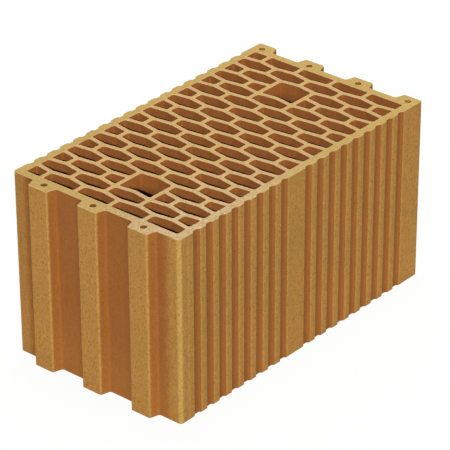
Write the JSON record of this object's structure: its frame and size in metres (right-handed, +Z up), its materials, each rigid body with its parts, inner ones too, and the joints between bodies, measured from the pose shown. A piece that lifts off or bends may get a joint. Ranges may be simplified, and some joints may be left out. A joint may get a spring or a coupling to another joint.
{
  "type": "clay brick",
  "caption": "Vertically perforated hollow clay block with zigzag-webbed cells, grip holes, interlocking tongue-and-groove ends and grooved plaster faces.",
  "frame": {"origin": "under the middle of the block, on its lower bed face", "axes": "+X along the wall towards the end with the corner tongues, +Y across the wall, +Z up"},
  "size_m": [0.453, 0.25, 0.238],
  "materials": {
    "fired_clay": "matte"
  },
  "bodies": {
    "root": {"clay_brick": "fired_clay"}
  },
  "joints": []
}
